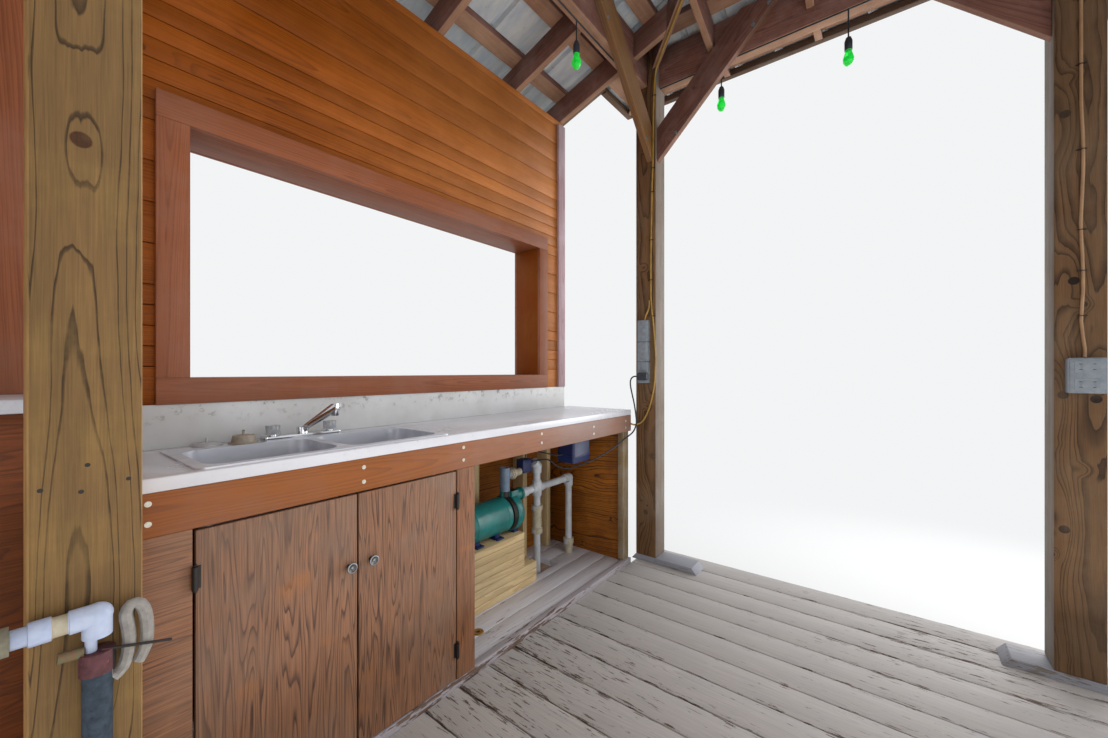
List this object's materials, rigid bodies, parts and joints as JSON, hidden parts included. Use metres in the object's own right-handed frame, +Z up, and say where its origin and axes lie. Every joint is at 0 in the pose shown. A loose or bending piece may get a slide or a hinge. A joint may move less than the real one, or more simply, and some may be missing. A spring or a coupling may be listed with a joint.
{
  "type": "covered boathouse deck with bar",
  "caption": "Open timber deck pavilion of a boathouse on piles: hip roof on posts with knee braces, and a bar wall with pass-through, counter, sink, cabinet doors and pump bay.",
  "frame": {"origin": "middle of the roof's plan, at the foot of the piles", "axes": "-X along the bar wall toward its sink-and-pump end, on the right for someone on the deck who faces the wall, +Y from the bar wall toward the open front, +Z up"},
  "size_m": [5.67, 4.956, 4.5701],
  "materials": {
    "aged_timber": "weathered",
    "new_timber": "rough sawn",
    "grey_deck": "worn paint",
    "white_paint": "worn paint",
    "cedar": "oiled",
    "pine": "planed",
    "plywood": "stained",
    "roof_sheet": "ribbed sheet",
    "white_laminate": "laminate",
    "stainless": "brushed",
    "chrome": "polished",
    "black_iron": "black",
    "pump_paint": "enamel",
    "white_pvc": "moulded",
    "box_paint": "grey enamel",
    "cable_sheath": "sheath",
    "cord_rubber": "smooth",
    "switch_paint": "enamel",
    "foam": "closed cell",
    "red_paint": "worn enamel",
    "bulb_glass": "clear green"
  },
  "bodies": {
    "boathouse": {"piles": "aged_timber", "cap_beams": "aged_timber", "floor_joists": "aged_timber", "rim_boards": "aged_timber", "deck_boards": "grey_deck", "bar_floor": "white_paint", "kick_board": "grey_deck", "posts": "aged_timber", "new_post": "new_timber", "post_shoes": "white_paint", "end_beams": "aged_timber", "side_beams": "aged_timber", "knee_braces": "aged_timber", "long_rafters": "aged_timber", "end_rafters": "aged_timber", "hip_rafters": "aged_timber", "ridge_board": "aged_timber", "bar_rafters": "aged_timber", "battens": "aged_timber", "eave_boards": "aged_timber", "bar_roof": "roof_sheet", "front_roof": "roof_sheet", "end_roofs": "roof_sheet", "roof_caps": "roof_sheet", "wall_over_window": "cedar", "wall_beside_window": "cedar", "wall_under_window": "cedar", "left_wall": "cedar", "lower_back_wall": "cedar", "bar_studs": "pine", "bar_end_walls": "cedar", "window_lining": "cedar", "window_casing": "cedar", "wall_trims": "cedar", "backsplash": "white_laminate", "counter": "white_laminate", "sink": "stainless", "faucet": "chrome", "apron": "cedar", "cabinet_stiles": "plywood", "hinge_pins": "black_iron", "pump_stand": "pine", "pump": "pump_paint", "pump_pipes": "white_pvc", "bar_ledge": "white_laminate", "ledge_panel": "plywood", "outlet_boxes": "box_paint", "outlet_cables": "cable_sheath", "pump_cord": "cord_rubber", "cord_plug": "cord_rubber", "switch_boxes": "switch_paint", "riser_pipe": "white_pvc", "riser_foam": "foam", "riser_valve": "red_paint", "string_lights": "bulb_glass", "sink_strainers": "stainless"},
    "left_door": {"left_door": "plywood", "left_hardware": "black_iron"},
    "right_door": {"right_door": "plywood", "right_hardware": "black_iron"}
  },
  "joints": [
    {"name": "left_door_hinge", "type": "hinge", "parent": "boathouse", "child": "left_door", "pos_m": [-0.184, -1.513, 1.127], "axis": [0, 0, -1], "range_deg": [0, 110]},
    {"name": "right_door_hinge", "type": "hinge", "parent": "boathouse", "child": "right_door", "pos_m": [-0.967, -1.513, 1.127], "axis": [0, 0, 1], "range_deg": [0, 110]}
  ]
}
